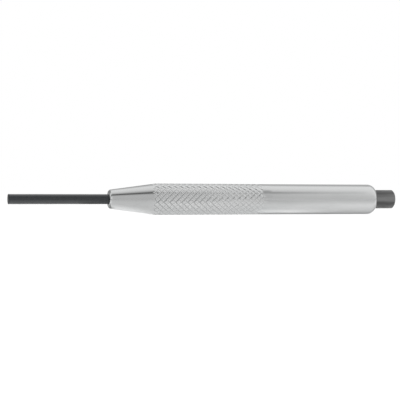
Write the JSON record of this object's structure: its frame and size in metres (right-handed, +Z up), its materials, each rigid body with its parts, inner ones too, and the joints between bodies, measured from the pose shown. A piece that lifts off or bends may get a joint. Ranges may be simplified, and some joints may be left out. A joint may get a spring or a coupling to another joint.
{
  "type": "pin punch",
  "caption": "Sheathed pin punch: a dark steel drift with a slim pin and a struck head, sliding in a plated, diamond-knurled guide sleeve with a tapered nose.",
  "frame": {"origin": "centre of the pin's tip face, with the sleeve pushed right back", "axes": "+X along the tool from the tip to the struck end, +Z up as the tool lies on a bench"},
  "size_m": [0.15, 0.0116, 0.0116],
  "materials": {
    "plated_sleeve": "satin nickel and chrome plate over turned and knurled steel",
    "blackened_pin": "ground, hardened and blackened steel with a slight oily sheen",
    "hardened_shank": "hardened steel, dark grey burnish",
    "ring_rubber": "smooth black nitrile rubber"
  },
  "bodies": {
    "sleeve": {"guide_sleeve": "plated_sleeve"},
    "rings": {"friction_ring_front": "ring_rubber", "friction_ring_rear": "ring_rubber"},
    "drift": {"striking_shank": "hardened_shank", "drift_pin": "blackened_pin"}
  },
  "joints": [
    {"name": "drift_slide", "type": "slide", "parent": "sleeve", "child": "rings", "axis": [1, 0, 0], "range_m": [0, 0.0366]},
    {"name": "drift_turn", "type": "hinge", "parent": "rings", "child": "drift", "pos_m": [0, 0, 0], "axis": [1, 0, 0], "continuous": true}
  ]
}
